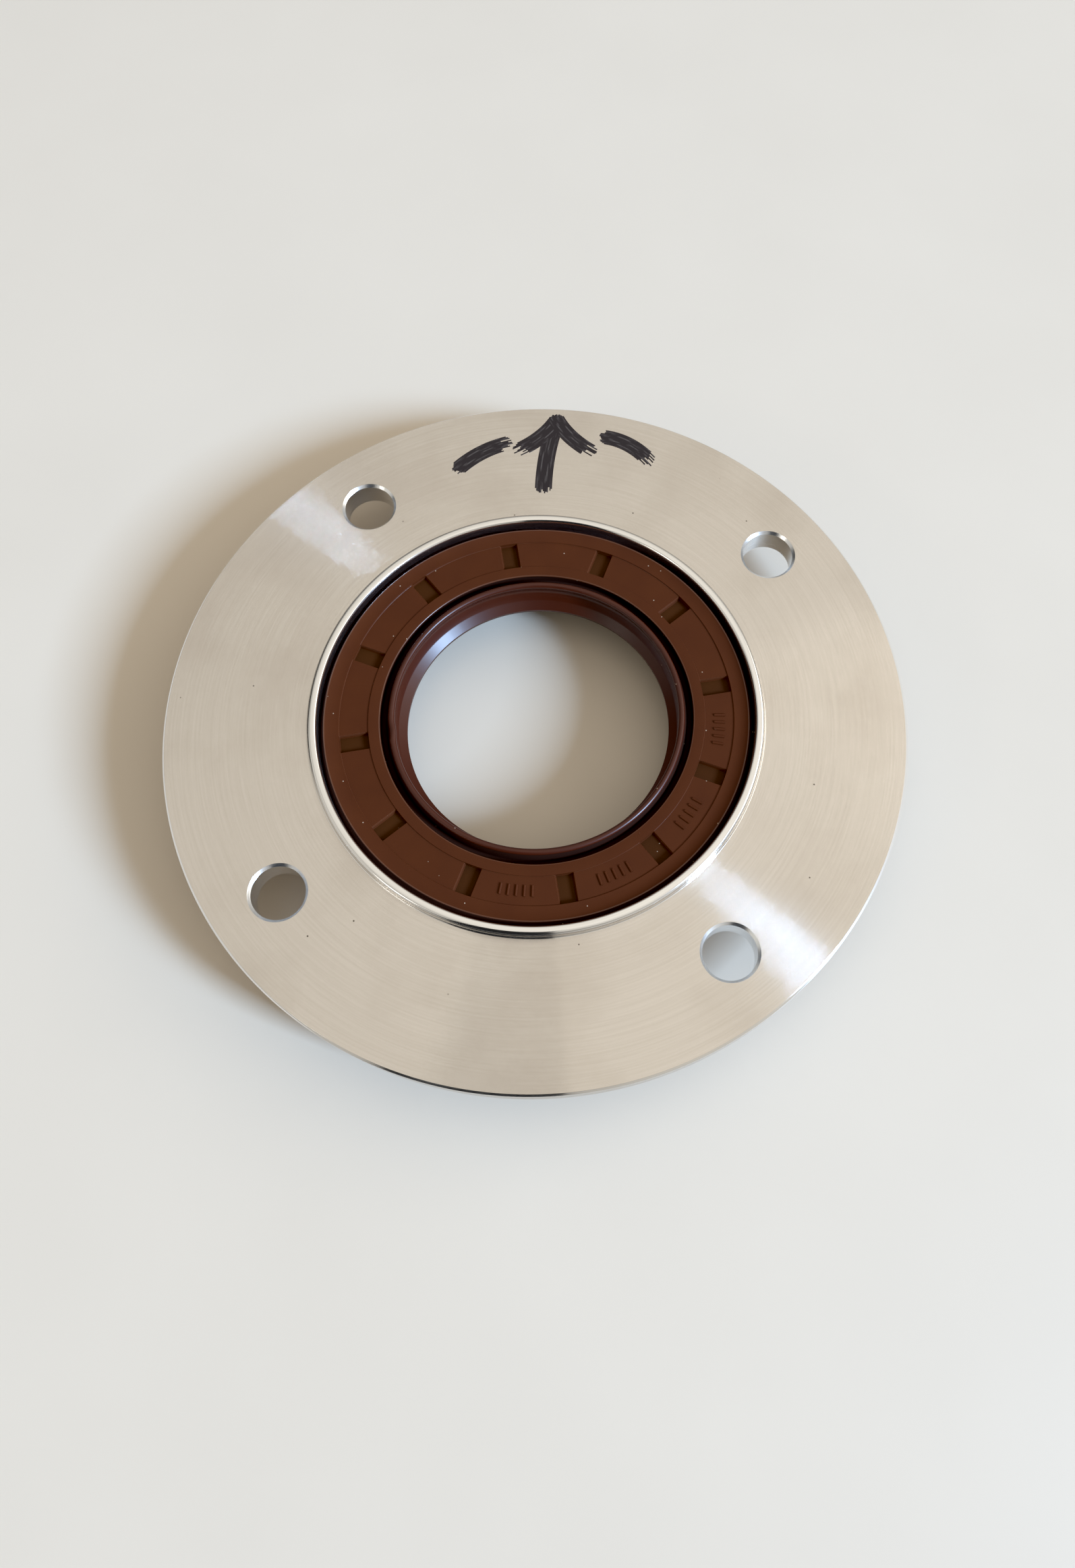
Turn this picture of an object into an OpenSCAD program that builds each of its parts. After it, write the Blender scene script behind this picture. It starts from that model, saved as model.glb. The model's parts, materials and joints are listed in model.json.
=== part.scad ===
// Rear main seal with its round flanged housing, sizes in millimetres.
// The hub's back face lies on z = 0 and the air side of the seal faces +Z.

/* [Housing] */
// Outside diameter of the flange
flange_dia = 124.2; // [118:0.1:136]
// Thickness of the flange
flange_thk = 4.76; // [4:0.01:6]
// Bevel around both edges of the flange's rim
rim_bevel = 0.35; // [0.2:0.05:0.8]
// Wall of the pilot hub around the seal's bore
hub_wall = 4.7625; // [3:0.0125:6]
// Length of the pilot hub behind the flange
hub_length = 9.525; // [8:0.005:14]
// Bevel on the pilot hub's free edge
hub_bevel = 0.6; // [0.3:0.05:1]
// Bevel at the back mouth of the seal's bore
bore_lead = 0.5; // [0.3:0.05:0.8]

/* [Collar] */
// Height of the raised collar above the flange's face
collar_height = 1.59; // [1.3:0.01:2.2]
// Radial width of the raised collar at its foot
collar_wall = 1.9; // [1.6:0.05:2.6]
// Round on the collar's outer edge
collar_round = 0.85; // [0.4:0.05:1.4]
// Round on the collar's inner edge
collar_edge = 0.75; // [0.2:0.05:0.8]
// Hollow round at the collar's foot
collar_fillet = 0.25; // [0.15:0.05:0.3]

/* [Bolt holes] */
// Number of bolt holes
bolt_count = 4; // [3:1:8]
// Diameter of the circle that carries the bolt holes
bolt_circle = 101.6; // [98:0.1:105]
// Diameter of each bolt hole
bolt_hole = 8.73; // [6.5:0.01:10]
// Bevel at the front mouth of each bolt hole
bolt_bevel = 0.45; // [0.2:0.05:0.8]
// Bevel at the back mouth of each bolt hole
bolt_break = 0.2; // [0.1:0.05:0.4]
// Angle of the first bolt hole
bolt_angle = 45; // [0:1:90]

/* [Seal] */
// Diameter of the shaft that the seal is made for
shaft_dia = 47.625; // [45:0.005:50]
// Outside diameter of the seal
seal_dia = 73.025; // [71:0.005:76]
// Width of the seal along the shaft
seal_width = 9.525; // [9:0.005:12]
// How far the seal's face sits below the collar's top
seal_setback = 1.45; // [0.8:0.05:2]
// Round on the front corner of the seal
front_round = 0.9; // [0.5:0.05:1.2]
// Length of the taper on the back corner of the seal
back_taper = 1.3; // [0.8:0.05:1.8]

/* [Face pads] */
// Number of pads around the seal's face
pad_count = 12; // [6:1:18]
// Plain band between the trough and the pads
inner_band = 1.98; // [1:0.02:2.4]
// Plain band between the pads and the seal's outside
outer_band = 3.48; // [2.4:0.02:4]
// Depth of the pads below the plain bands
pad_sink = 0.18; // [0.05:0.01:0.2]
// Width of the notch between two pads
notch_width = 2.8; // [1.6:0.1:4]
// Depth of the notches below the pads
notch_depth = 0.8; // [0.3:0.05:0.9]
// Angle of the first notch
notch_angle = 17.5; // [0:0.5:30]

/* [Dust lip] */
// Radial bite of the dust lip into the shaft's size
dust_bite = 0.09; // [0:0.01:0.3]
// Height of the dust lip's crest above the seal's face
dust_rise = 0.68; // [0.4:0.02:0.9]
// Radius of the dust lip's round crest
crest_round = 0.45; // [0.3:0.01:0.5]
// Radial distance from the shaft to the trough's outer wall
trough_gap = 2.41; // [2.2:0.01:3]
// Depth of the trough behind the dust lip
trough_depth = 1.85; // [1.2:0.05:2.1]
// Radius of the trough's round floor
trough_round = 0.5; // [0.35:0.01:0.55]
// Round on the trough's outer edge
trough_edge = 0.15; // [0.1:0.01:0.25]

/* [Main lip] */
// Radial bite of the free main lip into the shaft's size
lip_bite = 1.4; // [0.8:0.05:1.6]
// Depth of the main lip's land below the seal's face
lip_depth = 5.3; // [4.6:0.05:5.6]
// Width of the main lip's land
lip_land = 0.5; // [0.3:0.05:0.7]
// Depth of the main lip's end below the seal's face
head_depth = 7.4; // [7:0.05:7.8]
// Radial distance from the shaft to the lip head's outer wall
head_gap = 1.75; // [1.6:0.05:2]
// Bevel at the lip head's end
head_bevel = 0.4; // [0.2:0.05:0.5]
// Radial gap from the shaft to the edges of the hollow between the lips
waist_gap = 0.41; // [0.3:0.01:0.5]
// Depth of the hollow's upper edge below the seal's face
waist_depth = 1.3; // [1.1:0.05:1.6]
// Length of the hollow along the shaft
waist_length = 1.6; // [1.2:0.05:1.8]
// Radius of the hollow's floor
waist_round = 1.3; // [1:0.05:2]
// Rubber behind the trough, where the main lip starts
web_thk = 1.5; // [1.2:0.05:1.8]

/* [Insert and spring] */
// Sheet thickness of the steel insert
steel_thk = 1; // [0.7:0.05:1.3]
// Inside radius of the insert's bend
steel_bend = 0.9; // [0.5:0.05:1.2]
// Radial distance from the shaft to the insert's inner edge
steel_gap = 4.7; // [4.4:0.05:5.2]
// Rubber over the insert at the seal's face
face_cover = 1.9; // [1.5:0.05:2.2]
// Rubber around the insert at the seal's outside
side_cover = 1.2; // [0.8:0.05:1.4]
// Rubber under the insert's end at the seal's back
end_cover = 0.6; // [0.4:0.05:0.9]
// Rubber that laps over the insert's inner edge
lap_width = 1.1; // [0.8:0.05:1.6]
// Thickness of that lap
lap_thk = 0.45; // [0.3:0.05:0.6]
// Diameter of the spring's coil
coil_dia = 1.9; // [1.5:0.05:2.1]
// How far the spring's centre line lies inside the lip head's outer wall
coil_sink = 0.3; // [0.2:0.05:0.5]
// How far the spring lies towards the air side from the middle of the lip's land
coil_offset = 0.2; // [0:0.05:0.3]

/* [Hidden] */
$fn = 96;
over = 1;

// Heights above the hub's back face
flange_back = hub_length;
flange_front = flange_back + flange_thk;
collar_top = flange_front + collar_height;
seal_face = collar_top - seal_setback;

// Radii of the housing
flange_r = flange_dia / 2;
seal_r = seal_dia / 2;
hub_r = seal_r + hub_wall;
collar_foot = seal_r + collar_wall;
collar_side = collar_foot - collar_fillet;
collar_room = min(collar_side - seal_r - collar_edge, collar_height - collar_fillet);
collar_bend = min(collar_round, collar_room);

// Seal face, where heights count from the plain bands
shaft_r = shaft_dia / 2;
trough_out = shaft_r + trough_gap;
trough_mid = [trough_out - trough_round, trough_round - trough_depth];
pad_in = trough_out + inner_band;
pad_out = seal_r - outer_band;
notch_floor = -pad_sink - notch_depth;

// Dust lip and the hollow behind it
crest = [shaft_r - dust_bite + crest_round, dust_rise - crest_round];
crest_core = 0.99 * crest_round;
lip_foot = trough_mid - [trough_round, 0];
waist_r = shaft_r + waist_gap;
waist_low = waist_depth + waist_length;
waist_sag = sqrt(pow(waist_round, 2) - pow(waist_length / 2, 2));
waist_mid = [waist_r - waist_sag, -waist_depth - waist_length / 2];

// Main lip and its spring
lip_r = shaft_r - lip_bite;
lip_low = lip_depth + lip_land;
head_r = shaft_r + head_gap;
oil_r = lip_r + head_depth - lip_low;
coil_r = coil_dia / 2;
coil_mid = [head_r - coil_sink, coil_offset - lip_depth - lip_land / 2];
web_low = -trough_depth - web_thk;
neck_z = coil_mid[1] + coil_r + coil_sink / 2;

// Steel insert
steel_out = seal_r - side_cover;
steel_wall = steel_out - steel_thk;
steel_in = shaft_r + steel_gap;
steel_back = -face_cover - steel_thk;
steel_end = end_cover - seal_width;
lap_out = steel_in + lap_width;
lap_low = steel_back - lap_thk;

// Point where a line from p touches the circle of radius r around c
function touch(c, r, p, side) =
  c + r * [cos(bearing(c, r, p, side)), sin(bearing(c, r, p, side))];
function bearing(c, r, p, side) =
  atan2(p[1] - c[1], p[0] - c[0]) + side * acos(r / norm(p - c));

// What a round of radius r takes off the corner at x, y
module edge_cut(x, y, r, sx, sy) {
  difference() {
    translate([x - (sx > 0 ? r : over), y - (sy > 0 ? r : over)])
      square([r + over, r + over]);
    translate([x - sx * r, y - sy * r])
      circle(r);
  }
}

// Flange, hub and collar in section
module housing_section() {
  difference() {
    polygon([
      [seal_r + bore_lead, 0],
      [hub_r - hub_bevel, 0],
      [hub_r, hub_bevel],
      [hub_r, flange_back],
      [flange_r - rim_bevel, flange_back],
      [flange_r, flange_back + rim_bevel],
      [flange_r, flange_front - rim_bevel],
      [flange_r - rim_bevel, flange_front],
      [collar_foot, flange_front],
      [collar_side, flange_front + collar_fillet],
      [collar_side, collar_top],
      [seal_r, collar_top],
      [seal_r, 2 * bore_lead]
    ]);
    translate([collar_foot, flange_front + collar_fillet])
      circle(collar_fillet);
    edge_cut(collar_side, collar_top, collar_bend, 1, 1);
    edge_cut(seal_r, collar_top, collar_edge, -1, 1);
  }
}

// Straight hole with a bevelled mouth on each side
module bolt_cutter() {
  r = bolt_hole / 2;
  translate([0, 0, flange_back - over])
    cylinder(h = flange_thk + 2 * over, r = r);
  translate([0, 0, flange_front - bolt_bevel])
    cylinder(h = bolt_bevel + over, r1 = r, r2 = r + bolt_bevel + over);
  translate([0, 0, flange_back - over])
    cylinder(h = bolt_break + over, r1 = r + bolt_break + over, r2 = r);
}

// Bent sheet insert in section
module steel_section() {
  difference() {
    translate([steel_in, steel_end])
      square([steel_out - steel_in, -face_cover - steel_end]);
    difference() {
      translate([steel_in - over, steel_end - over])
        square([steel_wall - steel_in + over, steel_back - steel_end + over]);
      edge_cut(steel_wall, steel_back, steel_bend, 1, 1);
    }
    edge_cut(steel_out, -face_cover, steel_bend + steel_thk, 1, 1);
  }
}

// Rubber in section, without the dust lip's round crest
module rubber_section() {
  difference() {
    polygon([
      touch(crest, crest_core, lip_foot, 1),
      lip_foot,
      [trough_out, trough_mid[1]],
      [trough_out, 0],
      [pad_in, 0],
      [pad_in, -pad_sink],
      [pad_out, -pad_sink],
      [pad_out, 0],
      [seal_r, 0],
      [seal_r, back_taper - seal_width],
      [seal_r - back_taper / 2, -seal_width],
      [steel_wall, -seal_width],
      [steel_wall, steel_back],
      [lap_out, steel_back],
      [lap_out - lap_thk, lap_low],
      [trough_out + lap_width, lap_low],
      [trough_out, web_low],
      [head_r, neck_z],
      [head_r, head_bevel - head_depth],
      [head_r - head_bevel, -head_depth],
      [oil_r, -head_depth],
      [lip_r, -lip_low],
      [lip_r, -lip_depth],
      [waist_r, -waist_low],
      [waist_r, -waist_depth],
      touch(crest, crest_core, [waist_r, -waist_depth], -1)
    ]);
    translate(waist_mid)
      circle(waist_round);
    translate(trough_mid)
      circle(trough_round);
    translate(coil_mid)
      circle(coil_r);
    edge_cut(trough_out, 0, trough_edge, -1, 1);
    edge_cut(seal_r, 0, front_round, 1, 1);
    steel_section();
  }
}

// Ring of radial notches between the face pads
module notch_cutter() {
  depth = over - notch_floor;
  intersection() {
    translate([0, 0, notch_floor])
      difference() {
        cylinder(h = depth, r = pad_out);
        translate([0, 0, -over])
          cylinder(h = depth + 2 * over, r = pad_in);
      }
    union() {
      for (i = [0 : pad_count - 1])
        rotate([0, 0, notch_angle + i * 360 / pad_count])
          translate([pad_in - over, -notch_width / 2, notch_floor])
            cube([pad_out - pad_in + 2 * over, notch_width, depth]);
    }
  }
}

// Turned housing with its ring of bolt holes
module housing() {
  color([0.78, 0.75, 0.70])
    difference() {
      rotate_extrude()
        housing_section();
      for (i = [0 : bolt_count - 1])
        rotate([0, 0, bolt_angle + i * 360 / bolt_count])
          translate([bolt_circle / 2, 0, 0])
            bolt_cutter();
    }
}

// Moulded rubber of the seal with both lips
module seal_body() {
  color([0.31, 0.17, 0.11])
    translate([0, 0, seal_face])
      difference() {
        union() {
          rotate_extrude()
            rubber_section();
          rotate_extrude()
            translate(crest)
              circle(crest_round);
        }
        notch_cutter();
      }
}

// Steel insert bonded into the rubber
module steel_case() {
  color([0.55, 0.56, 0.58])
    translate([0, 0, seal_face])
      rotate_extrude()
        steel_section();
}

// Outside shape of the close-wound spring that loads the main lip
module garter_spring() {
  color([0.66, 0.67, 0.69])
    translate([0, 0, seal_face])
      rotate_extrude()
        translate(coil_mid)
          circle(coil_r);
}

housing();
seal_body();
steel_case();
garter_spring();
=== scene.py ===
import json
import math
import random

import bmesh
import bpy
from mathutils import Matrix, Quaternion, Vector


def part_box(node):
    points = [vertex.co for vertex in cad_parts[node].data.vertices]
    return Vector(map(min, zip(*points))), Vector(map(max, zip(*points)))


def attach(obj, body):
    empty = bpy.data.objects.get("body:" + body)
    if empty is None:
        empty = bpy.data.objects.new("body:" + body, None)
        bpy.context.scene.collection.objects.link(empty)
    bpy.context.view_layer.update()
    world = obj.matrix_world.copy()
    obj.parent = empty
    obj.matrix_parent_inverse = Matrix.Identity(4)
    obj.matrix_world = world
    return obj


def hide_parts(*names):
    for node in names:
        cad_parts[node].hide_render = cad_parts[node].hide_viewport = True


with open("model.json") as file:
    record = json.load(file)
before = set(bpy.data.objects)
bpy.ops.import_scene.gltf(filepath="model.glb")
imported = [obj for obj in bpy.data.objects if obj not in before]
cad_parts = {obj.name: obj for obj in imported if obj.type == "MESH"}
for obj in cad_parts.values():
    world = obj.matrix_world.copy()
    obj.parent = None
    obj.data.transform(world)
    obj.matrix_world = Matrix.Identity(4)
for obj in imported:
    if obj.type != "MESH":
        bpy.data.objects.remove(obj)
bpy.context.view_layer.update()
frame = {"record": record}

# Lengths are in millimetres and angles in degrees; a mesh is scaled to metres when it is made
MM = 0.001

# Sizes that the frame gives
mounts = {mount["name"]: mount for mount in frame["record"]["mounts"]}
bolts = mounts["bolt_holes"]["dims"]
housing_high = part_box("housing")[1] / MM
seal_low, seal_high = (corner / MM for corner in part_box("seal_body"))
flange_r = housing_high.x
flange_back = mounts["flange_back"]["pos_m"][2] / MM
collar_top = housing_high.z
hub_r = mounts["pilot_hub"]["dims"]["r_mm"]
hub_bevel = flange_back - mounts["pilot_hub"]["dims"]["length_mm"]
bolt_r = bolts["hole_r_mm"]
bolt_ring = bolts["pcd_mm"] / 2
bolt_first = 45
seal_r = seal_high.x
seal_back = seal_low.z
lip_r = mounts["shaft_lip"]["dims"]["r_mm"]
lip_land = mounts["shaft_lip"]["dims"]["length_mm"]
spring_low, spring_high = (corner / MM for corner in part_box("garter_spring"))
coil_r = (spring_high.z - spring_low.z) / 2
coil_ring = spring_high.x - coil_r
coil_height = spring_low.z + coil_r
steel_low, steel_high = (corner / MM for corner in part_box("steel_case"))
steel_out = steel_high.x
steel_front = steel_high.z
steel_end = steel_low.z

# Housing sizes that the frame doesn't hold
collar_height = 1.59
flange_front = collar_top - collar_height
rim_bevel = 0.35
bore_lead = 0.5
collar_wall = 1.9
collar_foot = seal_r + collar_wall
collar_fillet = 0.25
collar_side = collar_foot - collar_fillet
collar_round = 0.85
collar_edge = 0.5
bolt_bevel = 0.45
bolt_break = 0.2
edge_break = 0.06

# Seal sizes that the frame doesn't hold
shaft_r = 23.8125
face_depth = 1.45
seal_face = collar_top - face_depth
front_round = 0.9
edge_round = 0.12
flash_width = 0.2
flash_height = 0.045
back_taper = 1.3
trough_r = shaft_r + 2.41
trough_round = 0.5
trough_floor = seal_face - 1.85
trough_edge = 0.2
pad_in = trough_r + 1.98
pad_out = seal_r - 3.48
pad_sink = 0.18
pad_edge = 0.05
pad_count = 12
notch_first = 17.5
notch_half = 1.4
notch_depth = 0.8
notch_edge = 0.14
notch_floor = seal_face - pad_sink - notch_depth
crest_round = 0.55
crest = (shaft_r - 0.09 + crest_round, seal_high.z - crest_round)
waist_r = shaft_r + 0.41
waist_high = seal_face - 1.3
waist_low = waist_high - 1.6
waist_round = 1.3
head_r = shaft_r + 1.75
head_end = seal_face - 7.4
head_bevel = 0.4
neck = coil_height + coil_r + 0.15
lip_high = seal_face - 5.3
lip_lean = 48
web_low = trough_floor - 1.5
lap_width = 1.1
lap_thk = 0.45
steel_thk = 1.0
steel_bend = 0.9
steel_in = shaft_r + 4.7


def linear(hex_colour):
    """The linear RGBA of an sRGB hex value."""
    parts = [int(hex_colour[i:i + 2], 16) / 255 for i in (1, 3, 5)]
    return [p / 12.92 if p <= 0.04045 else ((p + 0.055) / 1.055) ** 2.4 for p in parts] + [1.0]


def add(tree, kind, inputs=None, **settings):
    """A new node with its settings; inputs holds a value or another node's socket for each input."""
    node = tree.nodes.new(kind)
    for name, value in settings.items():
        setattr(node, name, value)
    for key, value in (inputs or {}).items():
        if isinstance(value, bpy.types.NodeSocket):
            tree.links.new(value, node.inputs[key])
        else:
            node.inputs[key].default_value = value
    return node


def finish_of(name, fixed):
    """A new material, its node tree and its shader with the values that are the same all over."""
    material = bpy.data.materials.new(name)
    material.use_nodes = True
    shader = material.node_tree.nodes["Principled BSDF"]
    for socket, value in fixed.items():
        shader.inputs[socket].default_value = value
    return material, material.node_tree, shader


def arc(centre, radius, start, end, steps):
    """Points (r, z) of a round stretch in the section."""
    angles = [math.radians(start + (end - start) * i / steps) for i in range(steps + 1)]
    return [(centre[0] + radius * math.cos(a), centre[1] + radius * math.sin(a)) for a in angles]


def bearing(centre, radius, point, side):
    """Angle at which a line from the point touches the circle."""
    across, up = point[0] - centre[0], point[1] - centre[1]
    return math.degrees(math.atan2(up, across) + side * math.acos(radius / math.hypot(across, up)))


def softened(corners, radius, steps=3):
    """An open outline with each inner corner made a small round, and points that keep the flats flat."""
    points = [corners[0]]
    for last, here, following in zip(corners, corners[1:], corners[2:]):
        corner = Vector(here)
        before, after = Vector(last) - corner, Vector(following) - corner
        turn = math.pi - before.angle(after)
        reach = radius * math.tan(turn / 2)
        back, on = before.normalized() * reach, after.normalized() * reach
        points.append(tuple(corner + back * 1.5))
        for k in range(steps + 1):
            t = k / steps
            points.append(tuple(corner + back * (1 - t) ** 2 + on * t ** 2))
        points.append(tuple(corner + on * 1.5))
    return points + [corners[-1]]


def plain_mesh(name, vertices, faces):
    """A new object from vertices in millimetres, with its faces turned outwards."""
    mesh = bpy.data.meshes.new(name)
    mesh.from_pydata([Vector(v) * MM for v in vertices], [], faces)
    work = bmesh.new()
    work.from_mesh(mesh)
    bmesh.ops.recalc_face_normals(work, faces=work.faces)
    work.to_mesh(mesh)
    work.free()
    mesh.shade_smooth()
    piece = bpy.data.objects.new(name, mesh)
    bpy.context.scene.collection.objects.link(piece)
    return piece


def ring_faces(rings, lines):
    """Quads of a grid that closes on itself in both directions."""
    faces = []
    for i in range(rings):
        for j in range(lines):
            k, m = (i + 1) % rings, (j + 1) % lines
            faces.append((i * lines + j, i * lines + m, k * lines + m, k * lines + j))
    return faces


def turned(name, outline, lines):
    """A closed section (r, z) swept once around the axis."""
    vertices = []
    for r, z in outline:
        for j in range(lines):
            a = 2 * math.pi * j / lines
            vertices.append((r * math.cos(a), r * math.sin(a), z))
    return plain_mesh(name, vertices, ring_faces(len(outline), lines))


def keep_result(piece):
    """The piece as a plain mesh, with its modifiers worked in and removed."""
    seen = piece.evaluated_get(bpy.context.evaluated_depsgraph_get())
    mesh = bpy.data.meshes.new_from_object(seen)
    piece.modifiers.clear()
    piece.data = mesh


def sized_tree(name, sizes):
    """A new geometry tree with a named input for each size, the inputs' identifiers and their sockets."""
    tree = bpy.data.node_groups.new(name, "GeometryNodeTree")
    keys = {}
    for label, size in sizes.items():
        kind = "NodeSocketInt" if isinstance(size, int) else "NodeSocketFloat"
        keys[label] = tree.interface.new_socket(label, in_out="INPUT", socket_type=kind).identifier
    tree.interface.new_socket("Geometry", in_out="OUTPUT", socket_type="NodeSocketGeometry")
    return tree, keys, add(tree, "NodeGroupInput").outputs


def grown(name, tree, keys, sizes, shape, material):
    """The piece that a geometry tree gives at its sizes, made real, coated and kept as a plain mesh."""
    real = add(tree, "GeometryNodeRealizeInstances", {"Geometry": shape})
    coated = add(tree, "GeometryNodeSetMaterial", {"Geometry": real.outputs[0], "Material": material})
    add(tree, "NodeGroupOutput", {"Geometry": coated.outputs[0]})
    piece = bpy.data.objects.new(name, bpy.data.meshes.new(name))
    bpy.context.scene.collection.objects.link(piece)
    nodes = piece.modifiers.new(tree.name, "NODES")
    nodes.node_group = tree
    for label, size in sizes.items():
        nodes[keys[label]] = size
    keep_result(piece)
    piece.data.shade_smooth()
    return piece


def mounted(piece, node):
    """The piece rides on the part and stands for its CAD node, which it hides."""
    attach(piece, "root")
    if node:
        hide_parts(node)


def lathe_lines(tree):
    """A turned surface's place, normal, way outwards, way across the cut, and run along the section."""
    height_share = 0.7
    place = add(tree, "ShaderNodeTexCoord").outputs["Object"]
    facing = add(tree, "ShaderNodeNewGeometry").outputs["Normal"]
    flat = add(tree, "ShaderNodeVectorMath", {0: place, 1: (1, 1, 0)}, operation="MULTIPLY").outputs[0]
    radius = add(tree, "ShaderNodeVectorMath", {0: flat}, operation="LENGTH").outputs["Value"]
    outward = add(tree, "ShaderNodeVectorMath", {0: flat}, operation="NORMALIZE").outputs[0]
    around = add(tree, "ShaderNodeVectorMath", {0: (0, 0, 1), 1: outward},
                 operation="CROSS_PRODUCT").outputs[0]
    across = add(tree, "ShaderNodeVectorMath", {0: around, 1: facing},
                 operation="CROSS_PRODUCT").outputs[0]
    height = add(tree, "ShaderNodeSeparateXYZ", {0: place}).outputs["Z"]
    run = add(tree, "ShaderNodeMath", {0: height, 1: height_share, 2: radius},
              operation="MULTIPLY_ADD").outputs[0]
    return place, facing, outward, across, run


def lathe_rings(tree, outward, run, pitch, breaks):
    """Noise in broken rings at a pitch in millimetres, with about so many breaks in a quarter turn."""
    lane = add(tree, "ShaderNodeMath", {0: run, 1: 1 / (pitch * MM)}, operation="MULTIPLY").outputs[0]
    ladder = add(tree, "ShaderNodeCombineXYZ", {"Z": lane}).outputs[0]
    spot = add(tree, "ShaderNodeVectorMath", {0: outward, 1: (breaks, breaks, 0), 2: ladder},
               operation="MULTIPLY_ADD").outputs[0]
    return add(tree, "ShaderNodeTexNoise", {"Vector": spot, "Scale": 1.0, "Detail": 3.0}).outputs["Fac"]


def leaned(tree, facing, across, slope):
    """The normal of a surface that leans by a slope across the cut."""
    tilt = add(tree, "ShaderNodeVectorMath", {0: across, "Scale": slope}, operation="SCALE").outputs[0]
    sum_of_both = add(tree, "ShaderNodeVectorMath", {0: facing, 1: tilt}, operation="ADD").outputs[0]
    return add(tree, "ShaderNodeVectorMath", {0: sum_of_both}, operation="NORMALIZE").outputs[0]


def specks(tree, place, spacing, radius):
    """1 on small spots of a radius, strewn in cells of a spacing, both in millimetres, and 0 elsewhere."""
    cell = add(tree, "ShaderNodeTexVoronoi", {"Vector": place, "Scale": 1 / (spacing * MM)})
    near = radius / spacing
    return add(tree, "ShaderNodeMapRange", {
        "Value": cell.outputs["Distance"], "From Min": near, "From Max": 0.6 * near}).outputs[0]


def turned_aluminium():
    # Aluminium plate faced on a lathe: pale metal whose fine rings draw each light into a radial streak
    material, tree, shader = finish_of("turned aluminium", {"Metallic": 1.0, "Anisotropic": 1.0})
    place, facing, outward, across, run = lathe_lines(tree)
    # The tool leaves shallow hollows 0.05 mm apart with steep burrs between them, seen only as a sheen;
    # each point is a place across one hollow and the slope there
    feed = add(tree, "ShaderNodeMath", {0: run, 1: 1 / (0.05 * MM)}, operation="MULTIPLY").outputs[0]
    share = add(tree, "ShaderNodeMath", {0: feed}, operation="FRACT").outputs[0]
    hollow = add(tree, "ShaderNodeFloatCurve", {"Value": share})
    steepest = 1.5
    curve = hollow.mapping.curves[0]
    for at, slope in ((0.006, -0.85), (0.0084, -0.35), (0.145, -0.2), (0.265, -0.1),
                      (0.735, 0.1), (0.855, 0.2), (0.9916, 0.35), (0.994, 0.85)):
        curve.points.new(at, 0.5 + slope / (2 * steepest))
    for point in curve.points:
        point.handle_type = "VECTOR"
    hollow.mapping.update()
    slope = add(tree, "ShaderNodeMapRange", {
        "Value": hollow.outputs[0], "To Min": -steepest, "To Max": steepest}).outputs[0]
    # Broken rings where the cut was a little brighter or duller, about 0.3 mm apart
    ring = lathe_rings(tree, outward, run, 0.3, 3)
    tone = add(tree, "ShaderNodeMix", {0: ring, 6: linear("#d7d0c7"), 7: linear("#e5dfd8")},
               data_type="RGBA").outputs[2]
    # A few dark pits and specks of swarf
    pit = specks(tree, place, 6, 0.16)
    tone = add(tree, "ShaderNodeMix", {0: pit, 6: tone, 7: linear("#4a4038")}, data_type="RGBA").outputs[2]
    # Faint smears from handling, about 16 mm wide
    smear = add(tree, "ShaderNodeTexNoise", {
        "Vector": place, "Scale": 1 / (16 * MM), "Detail": 4.0}).outputs["Fac"]
    rough = add(tree, "ShaderNodeMapRange", {
        "Value": smear, "From Min": 0.35, "From Max": 0.65, "To Min": 0.11, "To Max": 0.16}).outputs[0]
    veil = add(tree, "ShaderNodeMapRange", {
        "Value": smear, "From Min": 0.45, "From Max": 0.75, "To Max": 0.5}).outputs[0]
    tone = add(tree, "ShaderNodeMix", {0: veil, 6: tone, 7: linear("#ccc3b9")}, data_type="RGBA").outputs[2]
    tree.links.new(tone, shader.inputs["Base Color"])
    tree.links.new(rough, shader.inputs["Roughness"])
    tree.links.new(leaned(tree, facing, across, slope), shader.inputs["Normal"])
    tree.links.new(across, shader.inputs["Tangent"])
    return material


def polished_aluminium():
    # The collar and the rim's bevel, rubbed bright on the lathe: mirror bands with fine lines along them
    material, tree, shader = finish_of("polished aluminium", {"Metallic": 1.0})
    facing, outward, across, run = lathe_lines(tree)[1:]
    ring = lathe_rings(tree, outward, run, 0.16, 2)
    waviness = 0.14
    slope = add(tree, "ShaderNodeMapRange", {
        "Value": ring, "To Min": -waviness, "To Max": waviness}).outputs[0]
    rough = add(tree, "ShaderNodeMapRange", {"Value": ring, "To Min": 0.06, "To Max": 0.16}).outputs[0]
    tone = add(tree, "ShaderNodeMix", {0: ring, 6: linear("#e9e7e4"), 7: linear("#faf9f7")},
               data_type="RGBA").outputs[2]
    tree.links.new(tone, shader.inputs["Base Color"])
    tree.links.new(rough, shader.inputs["Roughness"])
    tree.links.new(leaned(tree, facing, across, slope), shader.inputs["Normal"])
    return material


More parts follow.
